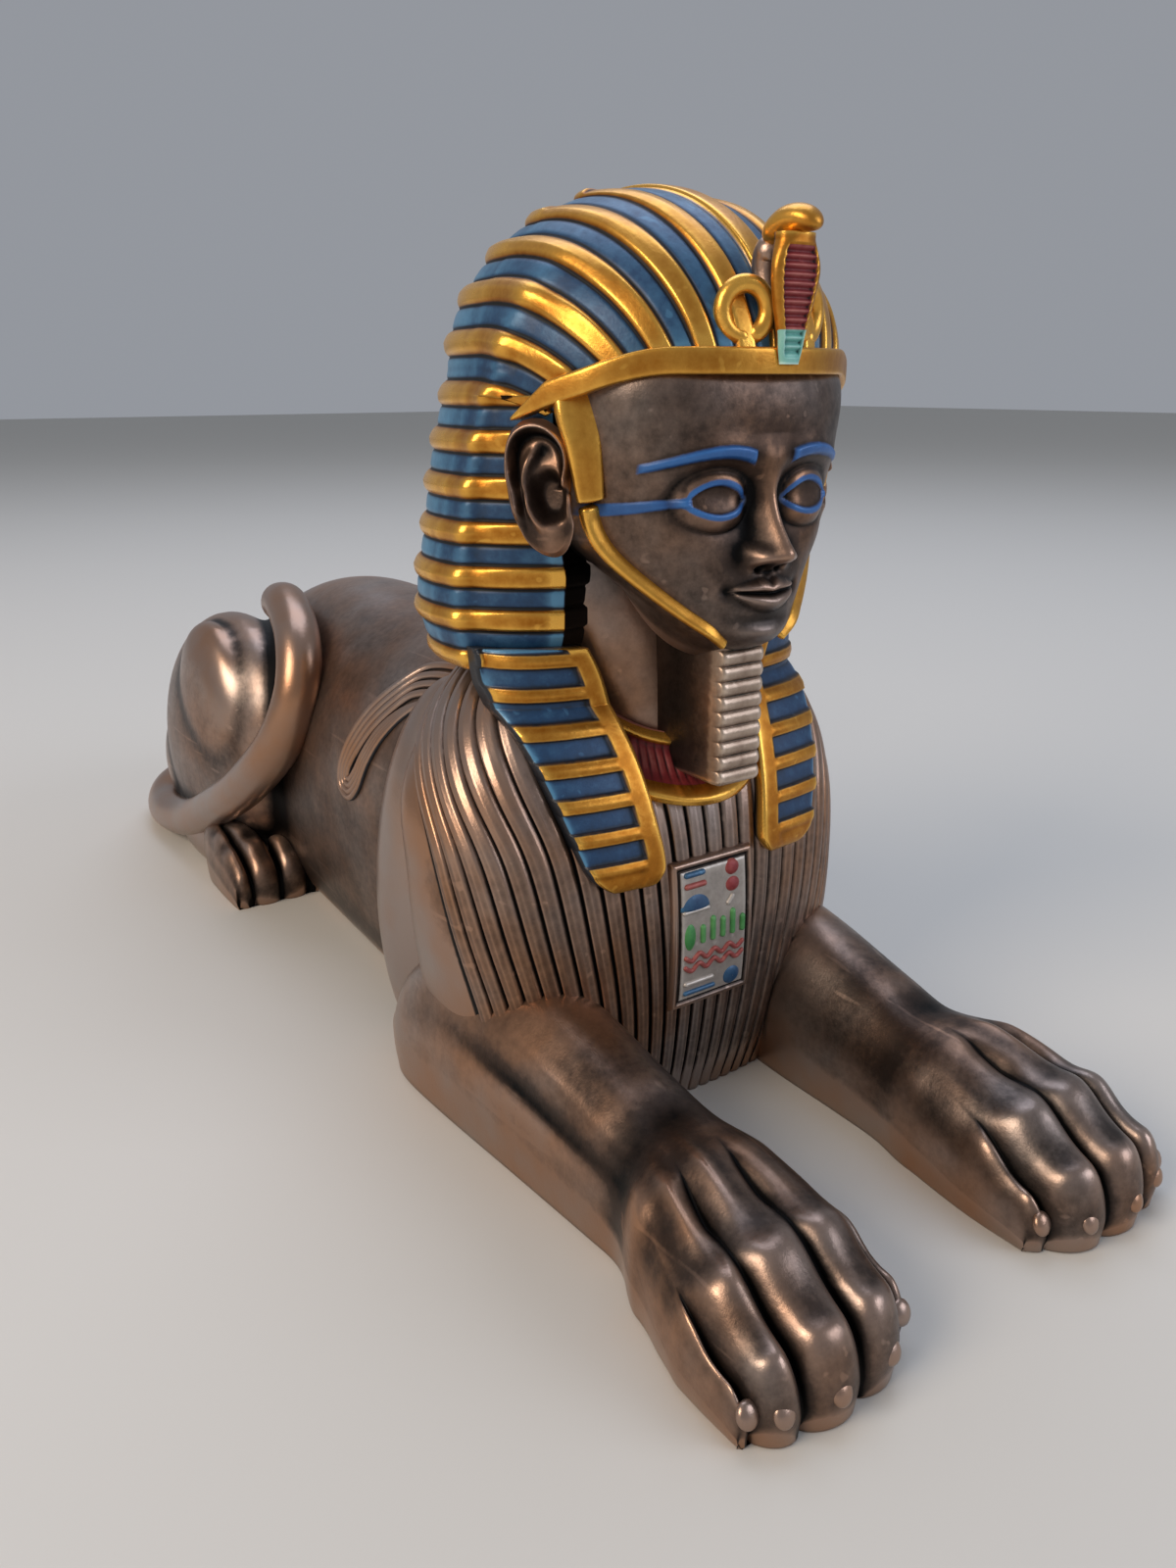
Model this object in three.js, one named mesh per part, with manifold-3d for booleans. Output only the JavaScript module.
// A couchant sphinx statuette cast in one piece: a lion's body with a crowned, bearded human head.
// Millimetres, +Z up. The figure faces -Y, its left side is +X, and it rests on the plane z = 0.
import * as THREE from 'three';
import { mergeVertices } from 'three/addons/utils/BufferGeometryUtils.js';
import Module from 'manifold-3d';

const wasm = await Module();
wasm.setup();

const { clamp, degToRad, lerp, smoothstep } = THREE.MathUtils;

// ---- driving dimensions --------------------------------------------------------------------
const REACH = 134.5; // from the middle forward to the longest toe and back to the root of the tail
const BACK_TOP = 70; // height of the lion's back
const CROWN = { y: -54.7, z: 114, width: 26.8, front: 31.2, back: 27, height: 23.8 };
const STRIPE_TURN = 16.3; // degrees of the crown's side arc between two raised stripes
const STRIPE_PITCH = 6.1; // height of one raised and one sunk band on the hanging cloth
const STRIPE_RELIEF = 0.6;
const MIDDLE_STRIPE = 3.2; // width of the stripe along the crown's middle
const FANNED = 6; // stripes on each side that fan out from the headband
const LEVEL = 6; // level bands below them, down to the lowest border
const HOOD_FOOT = 73; // lower edge of the headcloth behind the shoulders
const BAND = { top: 116.4, height: 3.2, thickness: 1.0, flat: 12, drop: 0.045 };
const CHIN_Z = 77.5;
const BEARD = { top: 78, bottom: 57, front: -81.3, halfWidth: 4.1, ribs: 9 };
const PLEATS = 12; // carved pleats on each side of the breast panel
const PLEAT_DEPTH = 0.7;
const PANEL = { halfWidth: 6.6, bottom: 19.5, top: 44, proud: 0.5 };
const LAPPET = { tip: 42, border: 3.6, thickness: 1.5 }; // the striped end of the cloth on the breast
const BARS = { count: 7, pitch: 4.9, width: 2.5, depth: 0.7, lowest: 48 }; // its sunk bars
const ARM_X = 25; // each foreleg lies this far from the middle
const TOES = 5;
const TOE_FAN = degToRad(72); // the toes are spaced by angle over this half arc
const TOE_GAP = 2.2; // how far the grooves between the toes run back from their tips
const HIND_TOES = 4;
const SHORTEST_EDGE = 0.12; // of the joined surface
const THINNEST = 0.02; // height of a triangle over its long side

const bronze = new THREE.MeshStandardMaterial({ color: 0x5b4031, metalness: 0.75, roughness: 0.38 });

// ---- small helpers -------------------------------------------------------------------------
const signedPower = (value, exponent) => Math.sign(value) * Math.abs(value) ** exponent;
const bump = (distance, width) => Math.exp(-((distance / width) ** 2));

// Smooth readings between stations [place, value, value, ...]: a cubic through every station.
function profile(rows) {
  const stations = [...rows].sort((a, b) => a[0] - b[0]);
  const last = stations.length - 1;
  return (place) => {
    let i = 0;
    while (i < last - 1 && place > stations[i + 1][0]) i += 1;
    const before = stations[Math.max(i - 1, 0)];
    const [start, end] = [stations[i], stations[i + 1]];
    const after = stations[Math.min(i + 2, last)];
    const span = end[0] - start[0];
    const t = clamp((place - start[0]) / span, 0, 1);
    return start.slice(1).map((value, k) => {
      const leaving = ((end[k + 1] - before[k + 1]) / (end[0] - before[0])) * span;
      const arriving = ((after[k + 1] - value) / (after[0] - start[0])) * span;
      const rise = end[k + 1] - value;
      const square = 3 * rise - 2 * leaving - arriving;
      const cube = leaving + arriving - 2 * rise;
      return value + t * (leaving + t * (square + t * cube));
    });
  };
}

// A closed solid from a mesh, with its faces turned outwards whatever way they were made.
function solidFrom(geometry) {
  const bare = geometry.index ? geometry.clone() : geometry;
  bare.deleteAttribute('normal');
  bare.deleteAttribute('uv');
  const merged = mergeVertices(bare, 1e-5);
  const points = merged.attributes.position.array;
  const corners = Uint32Array.from(merged.index.array);
  let volume = 0;
  for (let i = 0; i < corners.length; i += 3) {
    const [a, b, c] = [0, 1, 2].map((k) => new THREE.Vector3().fromArray(points, 3 * corners[i + k]));
    volume += a.dot(b.cross(c));
  }
  if (volume < 0) {
    for (let i = 0; i < corners.length; i += 3) {
      [corners[i], corners[i + 1]] = [corners[i + 1], corners[i]];
    }
  }
  const mesh = new wasm.Mesh({ numProp: 3, vertProperties: Float32Array.from(points), triVerts: corners });
  return new wasm.Manifold(mesh);
}

// Rings of points carried one after another and closed by a point at each end. ring(i, turn) gives
// the point of ring i at the turn 0..1; the mesh is a sphere's, with its points moved. What would
// reach below the resting plane is flattened on it.
function loft(rings, columns, ring, start, end) {
  const geometry = new THREE.SphereGeometry(1, columns, rings + 1);
  const position = geometry.attributes.position;
  for (let i = 0; i < position.count; i += 1) {
    const row = Math.floor(i / (columns + 1));
    const turn = (i % (columns + 1)) % columns / columns;
    let point;
    if (row === 0) point = start;
    else if (row === rings + 1) point = end;
    else point = ring(row - 1, turn);
    position.setXYZ(i, point[0], point[1], Math.max(point[2], 0));
  }
  return solidFrom(geometry);
}

// Even steps from one value to another, both ends included.
const steps = (from, to, count) => Array.from({ length: count }, (_, i) => lerp(from, to, i / (count - 1)));

// A tube along a smooth curve through points [x, y, z, radius], round or flattened by `flatten`.
// Its cross direction starts level and is carried along the curve without twisting.
function tube(points, rings, columns, flatten = 1) {
  const curve = new THREE.CatmullRomCurve3(points.map(([x, y, z]) => new THREE.Vector3(x, y, z)));
  const radius = profile(points.map((point, i) => [i / (points.length - 1), point[3]]));
  const frames = [];
  const side = new THREE.Vector3(0, 0, 1).cross(curve.getTangent(0));
  if (side.length() < 0.2) side.set(1, 0, 0);
  for (let i = 0; i < rings; i += 1) {
    const forward = curve.getTangent(i / (rings - 1));
    side.addScaledVector(forward, -side.dot(forward)).normalize();
    frames.push([side.clone(), forward.clone().cross(side)]);
  }
  const ring = (i, turn) => {
    const t = i / (rings - 1);
    const [across, up] = frames[i];
    const [r] = radius(t);
    const angle = turn * 2 * Math.PI;
    return curve.getPoint(t)
      .addScaledVector(across, r * Math.cos(angle))
      .addScaledVector(up, r * flatten * Math.sin(angle))
      .toArray();
  };
  const cap = (t, way) => {
    const [r] = radius(t);
    return curve.getPoint(t).addScaledVector(curve.getTangent(t), way * r * 0.55).toArray();
  };
  return loft(rings, columns, ring, cap(0, -1), cap(1, 1));
}

// A ball stretched to half-sizes, tilted by `pitch` degrees in the side view, and moved.
function stretchedBall(centre, halves, columns, rows, pitch = 0) {
  const ball = new THREE.SphereGeometry(1, columns, rows);
  ball.scale(...halves);
  ball.rotateX(degToRad(pitch));
  ball.translate(...centre);
  const { position } = ball.attributes;
  for (let i = 0; i < position.count; i += 1) position.setZ(i, Math.max(position.getZ(i), 0));
  return solidFrom(ball);
}

// An outline drawn in the side view as (y, z) and pushed out along x to both sides of the middle.
function sideways(outline, halfWidth) {
  const block = new THREE.ExtrudeGeometry(outline, { depth: 2 * halfWidth, bevelEnabled: false });
  const turned = new THREE.Matrix4().makeBasis(
    new THREE.Vector3(0, 1, 0),
    new THREE.Vector3(0, 0, 1),
    new THREE.Vector3(1, 0, 0),
  );
  block.applyMatrix4(turned);
  block.translate(-halfWidth, 0, 0);
  return solidFrom(block);
}

// A rounded limb lying along Y. Stations are [y, middle x, half-width, top, widest height, sink];
// below its widest height the section closes in and would end at -sink, under the resting plane.
function limb(stations, ringsAt, columns, squareness, startTip, endTip) {
  const at = profile(stations);
  const ring = (i, turn) => {
    const [x, halfWidth, top, waist, sink] = at(ringsAt[i]);
    const angle = turn * 2 * Math.PI;
    const across = signedPower(Math.cos(angle), 2 / squareness);
    const up = signedPower(Math.sin(angle), 2 / squareness);
    return [x + halfWidth * across, ringsAt[i], waist + up * (up > 0 ? top - waist : waist + sink)];
  };
  return loft(ringsAt.length, columns, ring, startTip, endTip);
}

const mirrored = (solid) => solid.mirror([1, 0, 0]);
const both = (solid) => [solid, mirrored(solid)];
const joined = (solids) => solids.reduce((sum, solid) => sum.add(solid));

// ---- lion's body ---------------------------------------------------------------------------
function trunk() {
  const stations = [
    [-44, 0, 26, BACK_TOP - 4, 36, 16],
    [-15, 0, 28.2, BACK_TOP - 1, 36, 16],
    [10, 0, 27.6, BACK_TOP - 1.5, 35, 15],
    [42, 0, 26, BACK_TOP + 0.8, 33, 13],
    [62, 0, 25, BACK_TOP - 2.5, 31, 12],
    [85, 0, 25, BACK_TOP - 14, 28, 12],
    [105, 0, 24, 45, 23, 11],
    [120, 0, 20, 33, 16, 9],
    [130, 0, 13, 22, 10, 6],
  ];
  const rings = [-44, -16, 12, 34, 50, 64, 78, 91, 103, 114, 123, 130];
  return limb(stations, rings, 16, 2.15, [0, -50, 34], [0, REACH - 1.5, 9]);
}

function haunch() {
  const thigh = stretchedBall([22, 76.5, 28.5], [14.5, 39.5, 31], 14, 9, -24);
  const buttock = stretchedBall([19, 99, 18], [15, 20.5, 21], 8, 6, -12);
  return thigh.add(buttock);
}

// A leg or foot lying along Y that ends in toes, as one skin. Stations are [y of the longest toe,
// middle x, half-width, top, widest height, squareness, depth of the grooves between the toes, and the
// share of the toes' lag]. Each toe has a groove and two shoulders; `lag` is how far a toe falls behind
// the longest one at its place across, -1 at the inner edge to 1 at the outer one.
function toedLimb(stations, toes, lag, startTip, endTip) {
  const at = profile(stations.map((row, i) => [i, ...row]));
  const top = 3 * toes + 1; // columns from the inner edge to the outer one over the top
  const columns = top + 4; // two more down each side, to the ground
  const ring = (i, turn) => {
    const [y, middle, halfWidth, height, waist, squareness, groove, lagging] = at(i);
    const column = Math.round(turn * columns);
    if (column >= top) {
      const side = column < top + 2 ? 1 : -1;
      const low = column === top + 1 || column === top + 2;
      return [middle + side * halfWidth * (low ? 0.86 : 1), y + lagging * lag(side), low ? 0 : 0.6 * waist];
    }
    const place = column % 3;
    const toeMiddle = (2 * (Math.floor(column / 3) + 0.5)) / toes - 1;
    const shoulder = (0.6 / toes) * (place === 1 ? -1 : 1);
    const across = place === 0 ? (2 * column) / (3 * toes) - 1 : toeMiddle + shoulder;
    const aside = Math.sin(across * TOE_FAN) / Math.sin(TOE_FAN);
    const inGroove = place === 0 && column > 0 && column < top - 1;
    const rise = (1 - Math.abs(aside) ** squareness) ** (1 / squareness);
    return [
      middle + halfWidth * aside,
      y + lagging * (lag(across) + (inGroove ? TOE_GAP : 0)),
      waist + (height - waist) * rise - (inGroove ? groove : 0),
    ];
  };
  return loft(stations.length, columns, ring, startTip, endTip);
}

function hindPaw() {
  const stations = [
    [72, 27, 8, 16, 7, 2.3, 0, 0],
    [62, 27.5, 10.2, 15.8, 7, 2.6, 0.5, 0],
    [54, 27.5, 10.8, 14.6, 6.5, 2.9, 1.4, 0.3],
    [46.5, 27.5, 10.8, 12, 5, 3.1, 1.8, 0.8],
    [41.5, 27.5, 10.6, 8.6, 4, 3.1, 1.8, 1],
    [39.6, 27.5, 10.4, 4.4, 2, 3.1, 1.5, 1],
    [40, 27.5, 10, 0, 0, 3.1, 0, 1],
  ];
  return toedLimb(stations, HIND_TOES, (across) => 1.2 * across * across, [27, 76, 8], [27.5, 46, 0]);
}

function tail() {
  return tube(
    [[4, 127, 9, 6.5], [-14, 128.6, 6.5, 5.6], [-28, 120, 5.4, 5.2], [-34.3, 104, 5.2, 5],
      [-34.4, 80, 9.8, 4.9], [-33.6, 57, 20.5, 4.8], [-32.4, 42, 29, 4.8], [-29.4, 27, 42, 4.8],
      [-26.6, 22.5, 53, 4.7], [-24, 27, 62, 4.6], [-20.8, 40, 67, 4.5], [-18.5, 52, 66, 4.2]],
    21,
    6,
  );
}

// ---- forelegs ------------------------------------------------------------------------------
function foreleg() {
  const stations = [
    [-34, 29, 6.5, 12, 6, 2.2, 0, 0],
    [-41, 28.8, 8.8, 22.5, 10, 2.2, 0, 0],
    [-53, 27.6, 9.9, 27.6, 12, 2.2, 0, 0],
    [-72, 25.8, 10.4, 26.6, 12, 2.2, 0, 0],
    [-90, ARM_X, 9.9, 22.4, 11, 2.2, 0, 0],
    [-98, ARM_X - 0.3, 9.7, 20.6, 10, 2.3, 0, 0],
    [-105, ARM_X + 0.1, 11, 20.3, 9, 2.6, 0.6, 0.1],
    [-113, ARM_X + 0.8, 12.9, 19, 7, 2.9, 1.7, 0.35],
    [-121, ARM_X + 1.4, 14.3, 16.4, 6, 3.2, 2.4, 0.65],
    [-128, ARM_X + 1.4, 14.4, 12.6, 4, 3.2, 2.4, 0.9],
    [-132.5, ARM_X + 1.4, 14.2, 8.8, 3.5, 3.2, 2.2, 1],
    [-REACH, ARM_X + 1.4, 14, 4.4, 2, 3.2, 1.5, 1],
    [-REACH + 0.5, ARM_X + 1.4, 13.6, 0, 0, 3.2, 0, 1],
  ];
  const lag = (across) => (across < 0 ? 6.2 : 4.6) * across * across; // more on the thumb's side
  return toedLimb(stations, TOES, lag, [29, -31.5, 4], [ARM_X + 1.4, -124, 0]);
}

// ---- breast and shoulders under the pleated mantle -----------------------------------------
// Heights up the breast: half-width, front, back, and the side angle where the pleats end.
const breastAt = profile([
  [-4, 31, -71, -36, 66], [8, 35.5, -74.2, -34, 66], [22, 38, -76, -36, 68],
  [34, 38.6, -76.2, -36, 76], [46, 38.4, -75, -35, 86], [56, 37, -72.4, -35, 96],
  [64, 33.5, -68.6, -34, 102], [70, 27.5, -64.5, -34, 104], [75, 19, -60, -36, 104],
]);
const BREAST_Y = -52; // the upright axis that the breast's sections are drawn about
const BREAST_SQUARE = 0.68; // 1 is an ellipse, and less is squarer

// A point on the breast's outline at a height and a turn from the middle in degrees.
function breastOutline(z, degrees) {
  const [halfWidth, front, back] = breastAt(z);
  const angle = degToRad(degrees);
  const across = signedPower(Math.sin(angle), BREAST_SQUARE);
  const ahead = signedPower(Math.cos(angle), BREAST_SQUARE);
  const depth = ahead > 0 ? BREAST_Y - front : back - BREAST_Y;
  return new THREE.Vector3(halfWidth * across, BREAST_Y - depth * ahead, z);
}

// Points evenly spaced by length round the outline between two turns, both ends included.
function breastWalk(z, from, to, count) {
  const fine = steps(from, to, 80).map((degrees) => breastOutline(z, degrees));
  const lengths = [0];
  for (let i = 1; i < fine.length; i += 1) lengths.push(lengths[i - 1] + fine[i].distanceTo(fine[i - 1]));
  return steps(0, lengths[lengths.length - 1], count).map((length) => {
    const i = clamp(lengths.findIndex((reached) => reached >= length), 1, fine.length - 1);
    const share = clamp((length - lengths[i - 1]) / (lengths[i] - lengths[i - 1]), 0, 1);
    return fine[i - 1].clone().lerp(fine[i], share);
  });
}

function mantle() {
  const heights = [-4, 20, 38, 50, 60, 69, 75];
  const panelColumns = 4;
  const pleatColumns = 2 * PLEATS + panelColumns; // ridges and grooves from the middle to the last pleat
  const backColumns = 4;
  const columns = 2 * (pleatColumns + backColumns);
  const axis = new THREE.Vector3(0, BREAST_Y, 0);
  const halfRings = heights.map((z) => {
    const edge = breastAt(z)[3];
    const half = [
      ...breastWalk(z, 0, edge, pleatColumns + 1),
      ...breastWalk(z, edge, 180, backColumns + 1).slice(1),
    ];
    return half.map((point, i) => {
      const groove = (i > panelColumns && i <= pleatColumns && i % 2 === 0) || i > pleatColumns;
      const inward = axis.clone().setZ(z).sub(point).setLength(groove ? PLEAT_DEPTH : 0);
      return point.add(inward);
    });
  });
  const ring = (i, turn) => {
    const column = Math.round(turn * columns);
    const mirror = column <= columns / 2 ? 1 : -1;
    const point = halfRings[i][mirror > 0 ? column : columns - column];
    return [column === columns / 2 ? 0 : mirror * point.x, point.y, point.z];
  };
  return loft(heights.length, columns, ring, [0, BREAST_Y, -6], [0, -48, 77]);
}

// A hook-shaped lock on the flank behind the shoulder, where the pleats turn back and end.
function hookLock() {
  const flank = (y, z, out) => {
    const reach = 28.2 * Math.sqrt(Math.max(0, 1 - (Math.abs(z - 36) / 37) ** 2.2));
    return [reach + out, y, z, 1.5];
  };
  const strands = [0, 1].map((strand) => tube(
    [flank(-36 + strand, 66 - 3 * strand, 0.2), flank(-22, 62 - 3.2 * strand, 0.3),
      flank(-8 - 1.4 * strand, 55 - 3.4 * strand, 0.2), flank(1.5 - 3.2 * strand, 46 - strand, 0.1),
      flank(-1.5 - 3 * strand, 40 + 2.4 * strand, 0.1), flank(-8 - strand, 43 + 1.8 * strand, 0),
      flank(-15, 50, -0.3)],
    8,
    4,
  ));
  return joined(strands);
}

function breastPanel() {
  const rows = steps(PANEL.bottom, PANEL.top, 5);
  const ring = (i, turn) => {
    const [, front] = breastAt(rows[i]);
    const corner = Math.round(turn * 4);
    const side = corner === 0 || corner === 3 ? -1 : 1;
    return [side * PANEL.halfWidth, corner < 2 ? front - PANEL.proud : front + 4, rows[i]];
  };
  return loft(rows.length, 4, ring, [0, -73, PANEL.bottom], [0, -73, PANEL.top]);
}

function collar() {
  const arc = (z, radiusX, radiusY, y, thickness) => tube(
    steps(-75, 75, 7).map((degrees) => [
      radiusX * Math.sin(degToRad(degrees)),
      y - radiusY * Math.cos(degToRad(degrees)),
      z + 9 * (1 - Math.cos(degToRad(degrees))),
      thickness,
    ]),
    7,
    5,
  );
  return arc(60.5, 13, 13, -54.5, 2).add(arc(53, 16, 17, -57, 1.8));
}

// ---- head ----------------------------------------------------------------------------------
// A calm, plain face on even proportions between the chin and the headband: thirds for the brow,
// the foot of the nose and the chin; eyes one eye's width apart; the mouth a third below the nose.
const FACE_TOP = BAND.top - BAND.height;
const FACE_HEIGHT = FACE_TOP - CHIN_Z;
const third = FACE_HEIGHT / 3;
const NOSE_Z = CHIN_Z + third;
const BROW_Z = CHIN_Z + 2 * third;
const EYE_Z = BROW_Z - 3.6;
const MOUTH_Z = NOSE_Z - third / 3;
const EYE_X = 7.6;

const headAt = profile([ // height: half-width, front
  [CHIN_Z - 2.5, 8, -76], [CHIN_Z + 0.6, 10.5, -83.2], [CHIN_Z + 5, 13.6, -84], [NOSE_Z, 17.4, -83.6],
  [EYE_Z, 19.6, -84], [BROW_Z + 2, 20.6, -85.2], [FACE_TOP + 3, 22, -85],
]);

function faceRelief(x, z) {
  const side = Math.abs(x);
  const along = clamp((BROW_Z - z) / (BROW_Z - NOSE_Z), 0, 1);
  const ridge = bump(side, 1.9 + 1.3 * along) * (1 + 5 * along) * smoothstep(BROW_Z + 3 - z, 0, 4);
  const bridge = z > NOSE_Z - 1 ? ridge : 0;
  const underNose = z <= NOSE_Z - 1 ? bump(side, 3.2) * 6 * bump(z - NOSE_Z + 1, 1.1) : 0;
  const nostrils = 2.2 * bump(side - 3, 1.5) * bump(z - NOSE_Z - 0.8, 1.7);
  const socket = -2 * bump(side - EYE_X, 4.6) * bump(z - EYE_Z, 3);
  const eye = 1.9 * bump(side - EYE_X, 3.3) * bump(z - EYE_Z, 1.7);
  const brow = 0.9 * bump(z - BROW_Z - 0.6, 1.4) * bump(side - EYE_X, 7);
  const lips = bump(side, 5) * (2 * bump(z - MOUTH_Z - 1.2, 1.1) + 2 * bump(z - MOUTH_Z + 1.4, 1.2));
  const chin = 1.8 * bump(side, 4.6) * bump(z - CHIN_Z - 2.6, 2.6);
  return bridge + underNose + nostrils + socket + eye + brow + lips + chin;
}

function head() {
  const heights = [
    CHIN_Z - 2.5, CHIN_Z - 0.2, CHIN_Z + 2.4, CHIN_Z + 5,
    MOUTH_Z - 1.4, MOUTH_Z, MOUTH_Z + 1.3,
    NOSE_Z - 1.6, NOSE_Z, NOSE_Z + 2.4,
    EYE_Z - 2, EYE_Z, EYE_Z + 2,
    BROW_Z + 0.6, BROW_Z + 6, FACE_TOP + 3,
  ];
  const columns = 24;
  const ring = (i, turn) => {
    const z = heights[i];
    const [halfWidth, front] = headAt(z);
    const centre = -64;
    const half = turn <= 0.5 ? turn : turn - 1;
    const angle = Math.sign(half) * Math.PI * (2 * Math.abs(half)) ** 1.35; // columns crowd to the front
    const [across, ahead] = [signedPower(Math.sin(angle), 0.9), signedPower(Math.cos(angle), 0.9)];
    const x = halfWidth * across;
    const relief = ahead > 0 ? faceRelief(x, z) * ahead : 0;
    return [x, centre - (ahead > 0 ? centre - front : 12) * ahead - relief, z];
  };
  const jawTip = [0, -70, CHIN_Z - 3.5];
  return loft(heights.length, columns, ring, jawTip, [0, -64, FACE_TOP + 4]);
}

function neck() {
  const stations = profile([[50, 15, -66], [60, 12.6, -67.5], [70, 11.2, -67], [84, 12, -69]]);
  const heights = steps(50, 84, 4);
  const ring = (i, turn) => {
    const [halfWidth, front] = stations(heights[i]);
    const angle = turn * 2 * Math.PI;
    return [halfWidth * Math.sin(angle), -52 - (-52 - front) * Math.cos(angle), heights[i]];
  };
  return loft(heights.length, 10, ring, [0, -52, 49], [0, -52, 85]);
}

function ear() {
  const rimPoints = [
    [22.2, -72.3, 101, 1.1], [23.6, -71.8, 105, 1.3], [26, -68.4, 106.6, 1.5], [27.8, -64.8, 104, 1.5],
    [27.8, -64.6, 99.5, 1.4], [26.2, -66.4, 94.8, 1.4], [23.8, -69.4, 91.6, 1.9], [22.2, -71.4, 93.2, 1.6],
  ];
  const rim = tube(rimPoints, 10, 4);
  const plate = new THREE.SphereGeometry(1, 6, 5);
  plate.scale(1.7, 4.4, 7.2);
  plate.rotateZ(degToRad(-35));
  plate.translate(24.6, -68.4, 99);
  return rim.add(solidFrom(plate));
}

function beard() {
  const outline = new THREE.Shape();
  const rib = (BEARD.top - BEARD.bottom) / BEARD.ribs;
  outline.moveTo(BEARD.front + 7, BEARD.bottom);
  outline.lineTo(BEARD.front, BEARD.bottom);
  for (let i = 0; i < BEARD.ribs; i += 1) {
    const foot = BEARD.bottom + i * rib;
    outline.lineTo(BEARD.front - 0.6, foot + 0.25 * rib);
    outline.lineTo(BEARD.front - 0.6, foot + 0.7 * rib);
    outline.lineTo(BEARD.front, foot + rib);
  }
  outline.lineTo(BEARD.front + 7, BEARD.top);
  const web = new THREE.BoxGeometry(2 * BEARD.halfWidth - 1.4, 12, BEARD.top - BEARD.bottom - 1);
  web.translate(0, -69, (BEARD.top + BEARD.bottom) / 2);
  return sideways(outline, BEARD.halfWidth).add(solidFrom(web));
}

// ---- striped headcloth ---------------------------------------------------------------------
// Level sections of the cloth: half-width, middle y, depth in front and depth behind.
const hoodAt = (() => {
  const hanging = profile([
    [HOOD_FOOT - 2, 29, -50, 14, 20], [77, 31.2, -49, 19, 22], [83, 31.8, -48.6, 20, 23],
    [92, 30.6, -50, 20, 24], [100, 29.6, -51.4, 21, 25.5], [107, 28.4, -53, 25, 26.5],
    [CROWN.z, 27, CROWN.y, CROWN.front, CROWN.back],
  ]);
  return (z) => {
    if (z <= CROWN.z) return hanging(z);
    const rise = Math.min((z - CROWN.z) / CROWN.height, 1);
    const shrink = Math.sqrt(1 - rise * rise);
    const fold = smoothstep(125 - z, 0, 4);
    return [(CROWN.width + 0.2 * fold) * shrink, CROWN.y, CROWN.front * shrink, CROWN.back * shrink ** 1.2];
  };
})();

// Height of the headband's upper edge at a distance from the middle.
const bandTop = (x) => BAND.top - BAND.drop * Math.max(0, Math.abs(x) - BAND.flat) ** 2;

// Row s counts stripes: 0 at the crown's top, each whole number the middle of a raised stripe.
// Its height at the widest place, and where it meets the headband or the head in front.
function stripeRow(s) {
  const rimOfArc = (stripe) => CROWN.z + CROWN.height * Math.cos(degToRad(STRIPE_TURN * stripe));
  if (s > FANNED) {
    const rimZ = rimOfArc(FANNED) - STRIPE_PITCH * (s - FANNED);
    return { rimZ, frontX: lerp(23.6, 19, Math.min(1, (s - FANNED) / 4)), frontZ: rimZ };
  }
  const frontX = 25.5 * Math.sin(degToRad(11.3 * s));
  return { rimZ: rimOfArc(s), frontX, frontZ: bandTop(frontX) - 0.6 };
}

// The relief across the stripes: 1 on a raised stripe, 0 in the sunk one between.
const raisedPart = (s) => {
  const fromMiddle = Math.abs(s - Math.round(s));
  return 1 - smoothstep(fromMiddle, 0.2, 0.34);
};

function hood() {
  const lastRow = FANNED + LEVEL;
  const rows = [];
  for (let s = 0.2; s < lastRow; s += 1) rows.push(s, s + 0.3, s + 0.6);
  rows.push(lastRow + 0.2);
  const [arc, back] = [5, 4]; // columns on each front arc and on each half of the back
  const columns = 2 * (arc + back) + 2;
  const ring = (i, turn) => {
    const s = rows[i];
    const { rimZ, frontX, frontZ } = stripeRow(s);
    const column = Math.round(turn * columns);
    const mirror = column <= columns / 2 ? 1 : -1;
    const away = mirror > 0 ? column : columns - column;
    const relief = STRIPE_RELIEF * raisedPart(s);
    if (away === 0) return [0, -64, frontZ - 1];
    if (away <= arc + 1) {
      const t = (away - 1) / arc;
      const x = lerp(frontX, hoodAt(rimZ)[0], t);
      const z = lerp(frontZ, rimZ, t);
      const [halfWidth, middle, front] = hoodAt(z);
      const share = Math.sqrt(Math.max(0, 1 - (x / Math.max(halfWidth, 0.01)) ** 2));
      const y = middle - front * share;
      const upward = (z - CROWN.z) / CROWN.height ** 2;
      const out = new THREE.Vector3(x / halfWidth ** 2, (y - middle) / front ** 2, upward).normalize();
      return [mirror * (x + relief * out.x), y + relief * out.y, z + relief * Math.max(out.z, 0)];
    }
    const [halfWidth, middle, , behind] = hoodAt(rimZ);
    const angle = (Math.PI / 2) * (away - arc - 1) / back;
    const flat = 0.94; // the back of the cloth is a little squarer than an ellipse
    const [across, aft] = [signedPower(Math.cos(angle), flat), signedPower(Math.sin(angle), flat)];
    return [
      away === columns / 2 ? 0 : mirror * (halfWidth + relief) * across,
      middle + (behind + relief) * aft,
      rimZ + (rimZ > CROWN.z ? relief * (rimZ - CROWN.z) / CROWN.height : 0),
    ];
  };
  const top = [0, CROWN.y, CROWN.z + CROWN.height];
  return loft(rows.length, columns, ring, top, [0, -50, stripeRow(lastRow + 0.2).rimZ - 0.5]);
}

// The raised stripe along the middle of the crown, from the headband to the top.
function middleStripe() {
  const outline = new THREE.Shape();
  outline.moveTo(CROWN.y, BAND.top - BAND.height);
  steps(0, 96, 12).forEach((degrees) => {
    const angle = degToRad(degrees);
    outline.lineTo(
      CROWN.y - (CROWN.front + STRIPE_RELIEF) * Math.cos(angle),
      CROWN.z + (CROWN.height + STRIPE_RELIEF) * Math.sin(angle),
    );
  });
  return sideways(outline, MIDDLE_STRIPE / 2);
}

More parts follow.
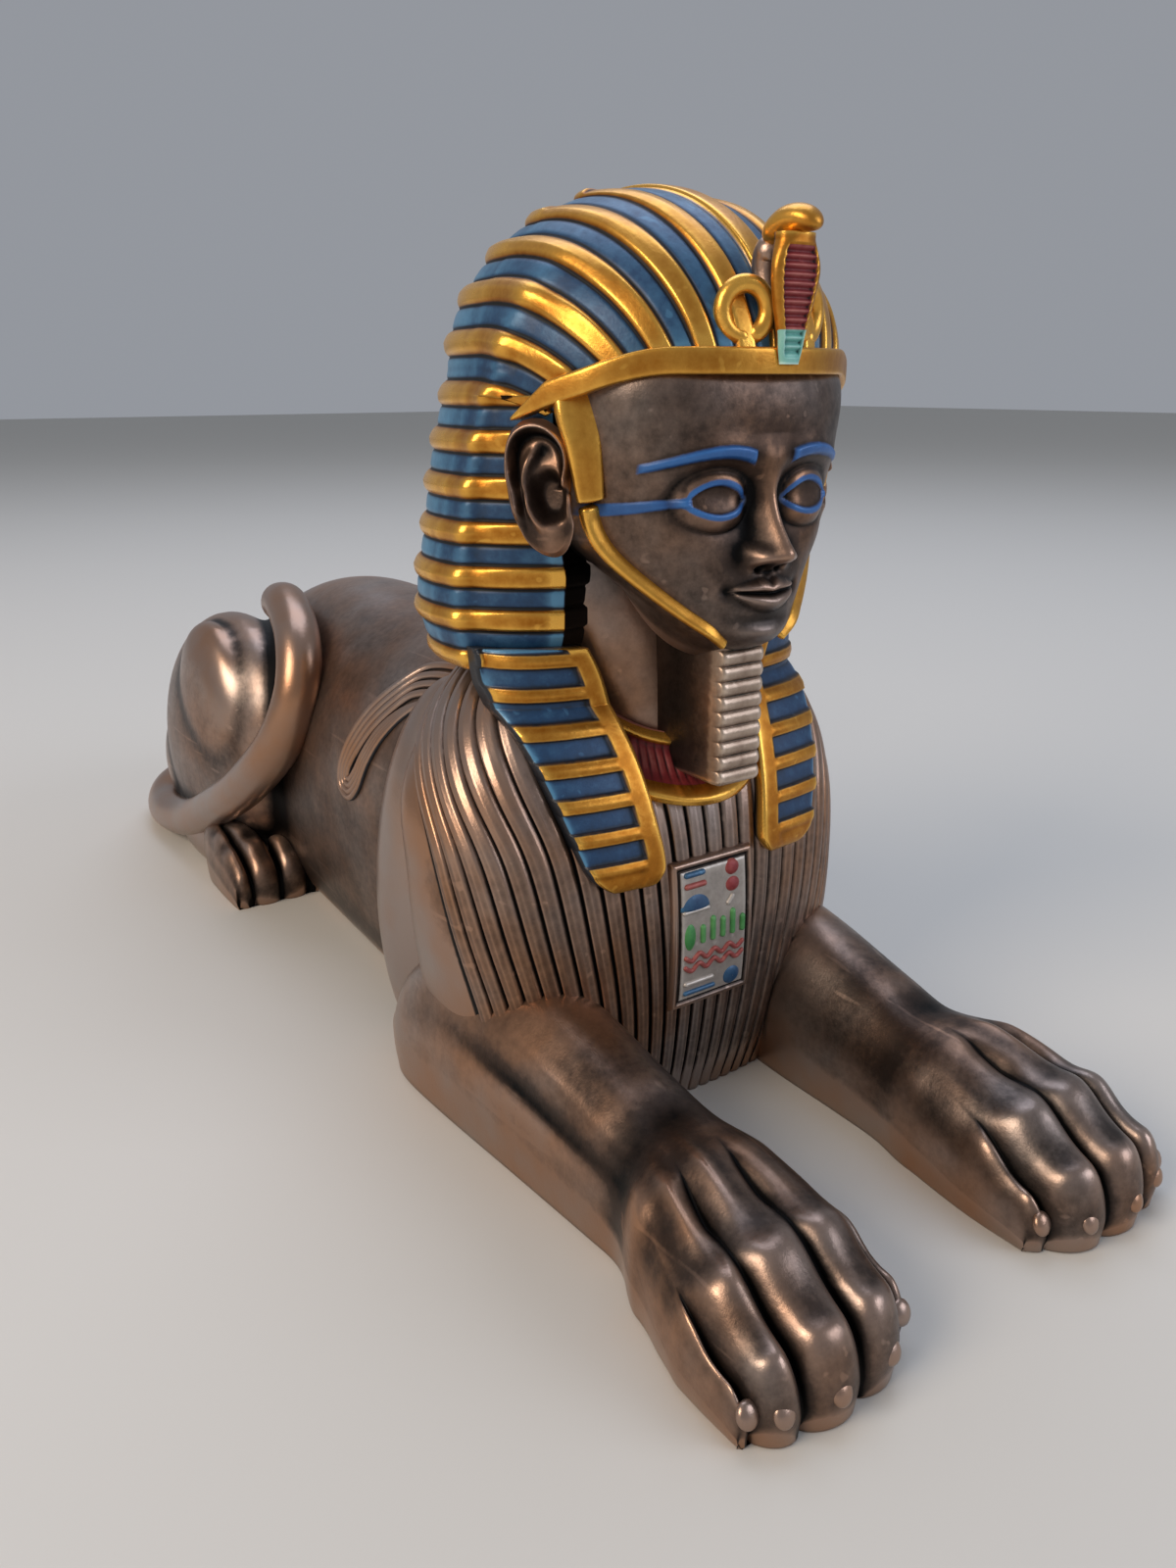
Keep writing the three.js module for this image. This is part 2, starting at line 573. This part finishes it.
// Edges of a lappet in the front view: inner and outer distance from the middle.
const lappetAt = profile([
  [LAPPET.tip, 10.6, 19.2], [45, 9.6, 21.8], [52, 10.4, 24.2],
  [62, 11.8, 27], [72, 14.4, 30.6], [79, 18, 33.4],
]);

function lappet() {
  const rows = [LAPPET.tip, LAPPET.tip + 1.5];
  for (let bar = 0; bar < BARS.count; bar += 1) {
    const middle = BARS.lowest + bar * BARS.pitch;
    rows.push(middle - BARS.width / 2, middle + BARS.width / 2, middle + BARS.pitch / 2);
  }
  const sunk = (z) => {
    const bar = Math.round((z - BARS.lowest) / BARS.pitch);
    return bar >= 0 && Math.abs(z - BARS.lowest - bar * BARS.pitch) < 0.6 * BARS.width;
  };
  const surface = (x, z, proud) => {
    const [halfWidth, front] = breastAt(Math.min(z, 68));
    const share = (1 - Math.min(x / halfWidth, 0.98) ** (2 / BREAST_SQUARE)) ** (BREAST_SQUARE / 2);
    return [x, BREAST_Y - (BREAST_Y - front) * share - proud, z];
  };
  const ring = (i, turn) => {
    const z = rows[i];
    const [inner, outer] = lappetAt(z);
    const place = Math.round(turn * 6);
    const border = Math.min(inner + LAPPET.border, outer - 1);
    const barDrop = sunk(z) ? BARS.depth : 0;
    const top = LAPPET.thickness;
    if (place === 0) return surface(inner, z, top);
    if (place === 1) return surface(border, z, top);
    if (place === 2) return surface(border + 0.3, z, top - barDrop);
    if (place === 3) return surface(outer, z, top - barDrop);
    if (place === 4) return surface(outer, z, -1.6);
    return surface(inner, z, -1.6);
  };
  return loft(rows.length, 6, ring, surface(15, LAPPET.tip - 0.6, 0.5), surface(25, 79, 0));
}

// ---- headband, temple tabs and chin strap --------------------------------------------------
function headband() {
  const turns = steps(-100, 100, 21);
  const ring = (i, turn) => {
    const angle = degToRad(turns[i]);
    const x = (CROWN.width - 3.4 * Math.max(0, Math.cos(angle)) ** 0.5) * Math.sin(angle);
    const upper = bandTop(Math.min(Math.abs(x), 24.5));
    const [halfWidth, middle, front] = hoodAt(Math.min(upper, CROWN.z));
    const corner = Math.round(turn * 4);
    const out = corner === 0 || corner === 3 ? BAND.thickness : -2.5;
    const z = corner < 2 ? upper : upper - BAND.height;
    return [(halfWidth + out) * Math.sin(angle), middle - (front + out) * Math.cos(angle), z];
  };
  const end = (sign) => [sign * (CROWN.width - 1), CROWN.y + 5, bandTop(24) - 1.6];
  return loft(turns.length, 4, ring, end(-1), end(1));
}

function templeTab() {
  return tube([[21.6, -73.8, 112, 2.4], [21.5, -73.2, 105, 2.3], [20.9, -73.4, 97.5, 1.9]], 4, 8, 0.45);
}

function chinStrap() {
  return tube(
    [[20.6, -73.4, 96.6, 1.5], [18.6, -74.6, 89, 1.4], [14.4, -77, 82.4, 1.2], [8.4, -79.6, 78.2, 1.0]],
    6,
    6,
    0.6,
  );
}

// ---- rearing cobra on the brow -------------------------------------------------------------
function cobra() {
  const spread = loft(
    5,
    8,
    (i, turn) => {
      const z = lerp(114.8, 128.6, i / 4);
      const [halfWidth, y, thickness] = profile([
        [114.8, 1.9, -87, 1.0], [118, 2.2, -87.2, 1.2], [122, 3.3, -87.4, 1.3], [125.5, 3.8, -87.6, 1.4],
        [128.6, 2.8, -87.2, 1.8],
      ])(z);
      const angle = turn * 2 * Math.PI;
      return [halfWidth * Math.cos(angle), y + thickness * Math.sin(angle), z];
    },
    [0, -87, 114.3],
    [0, -87, 129.8],
  );
  const headPart = tube([[0, -83.2, 129.3, 2.2], [0, -86.4, 130.6, 2.5], [0, -89.6, 130.1, 1.7]], 4, 6, 0.75);
  const nape = tube([[0, -83.6, 129.4, 2.3], [0, -81.8, 127, 2.2], [0, -83, 121, 2]], 3, 6);
  const coil = tube(
    steps(-60, 250, 9).map((degrees) => [
      5.2 + 2.7 * Math.cos(degToRad(degrees)),
      -84.9 + 0.42 * (5.2 + 2.7 * Math.cos(degToRad(degrees)) - 4),
      120.6 + 3.1 * Math.sin(degToRad(degrees)),
      1.1,
    ]),
    10,
    4,
  );
  return joined([spread, headPart, nape, ...both(coil)]);
}

// ---- the one casting -----------------------------------------------------------------------
const parts = [
  trunk(),
  ...both(haunch()),
  ...both(hindPaw()),
  tail(),
  ...both(foreleg()),
  mantle(),
  ...both(hookLock()),
  breastPanel(),
  collar(),
  neck(),
  head(),
  ...both(ear()),
  beard(),
  hood(),
  middleStripe(),
  ...both(lappet()),
  headband(),
  ...both(templeTab()),
  ...both(chinStrap()),
  cobra(),
];

const casting = joined(parts);

// The joined solid's surface without the slivers that joining leaves: edges shorter than
// SHORTEST_EDGE are drawn together, and a needle-thin triangle swaps its long side with its neighbour.
function withoutSlivers(points, faces) {
  const around = points.map(() => new Set());
  faces.forEach((face, f) => face.forEach((corner) => around[corner].add(f)));
  const facesOn = (a, b) => [...around[a]].filter((f) => around[b].has(f));
  const neighbours = (a) => new Set([...around[a]].flatMap((f) => faces[f]).filter((corner) => corner !== a));
  const normalOf = (face) => {
    const [a, b, c] = face.map((corner) => points[corner]);
    return b.clone().sub(a).cross(c.clone().sub(a));
  };
  const turned = (face, changed) => {
    const [before, after] = [normalOf(face), normalOf(changed)];
    return before.length() > 1e-3 && before.dot(after) < 0.5 * before.length() * after.length();
  };
  const drawTogether = (keep, drop) => {
    const shared = facesOn(keep, drop);
    const common = [...neighbours(keep)].filter((corner) => neighbours(drop).has(corner));
    const moved = [...around[drop]].filter((f) => !shared.includes(f));
    const replaced = (f) => faces[f].map((corner) => (corner === drop ? keep : corner));
    if (shared.length !== 2 || common.length !== 2 || moved.some((f) => turned(faces[f], replaced(f)))) return;
    shared.forEach((f) => {
      faces[f].forEach((corner) => around[corner].delete(f));
      faces[f] = null;
    });
    moved.forEach((f) => {
      faces[f] = replaced(f);
      around[keep].add(f);
    });
    around[drop].clear();
  };
  const swapLongSide = (f) => {
    const face = faces[f];
    const lengths = face.map((corner, k) => points[corner].distanceTo(points[face[(k + 1) % 3]]));
    const longest = lengths.indexOf(Math.max(...lengths));
    if (normalOf(face).length() / lengths[longest] > THINNEST) return;
    const [a, b, c] = [0, 1, 2].map((k) => face[(longest + k) % 3]);
    const other = facesOn(a, b).find((g) => g !== f);
    const d = faces[other].find((corner) => corner !== a && corner !== b);
    if (facesOn(c, d).length > 0) return;
    const [first, second] = [[a, d, c], [d, b, c]];
    if (turned(faces[other], first) || turned(faces[other], second)) return;
    faces[f] = first;
    faces[other] = second;
    around[b].delete(f);
    around[d].add(f);
    around[a].delete(other);
    around[c].add(other);
  };
  for (let round = 0; round < 4; round += 1) {
    faces.forEach((_, f) => {
      for (let k = 0; k < 3 && faces[f]; k += 1) {
        const [a, b] = [faces[f][k], faces[f][(k + 1) % 3]];
        if (points[a].distanceTo(points[b]) < SHORTEST_EDGE) drawTogether(a, b);
      }
    });
    faces.forEach((face, f) => face && swapLongSide(f));
  }
  return faces.filter((face) => face);
}

function meshFrom(solid, name, material) {
  const { numProp, vertProperties, triVerts } = solid.getMesh();
  const points = Array.from(
    { length: vertProperties.length / numProp },
    (_, i) => new THREE.Vector3().fromArray(vertProperties, i * numProp),
  );
  const triples = Array.from({ length: triVerts.length / 3 }, (_, i) => [...triVerts.subarray(3 * i, 3 * i + 3)]);
  const faces = withoutSlivers(points, triples);
  const corners = new THREE.BufferGeometry().setFromPoints(faces.flat().map((corner) => points[corner]));
  const geometry = mergeVertices(corners, 1e-5);
  geometry.computeVertexNormals();
  const mesh = new THREE.Mesh(geometry, material);
  mesh.name = name;
  return mesh;
}

const sphinx = new THREE.Group();
sphinx.add(meshFrom(casting, 'sphinx_statue', bronze));

export default sphinx;
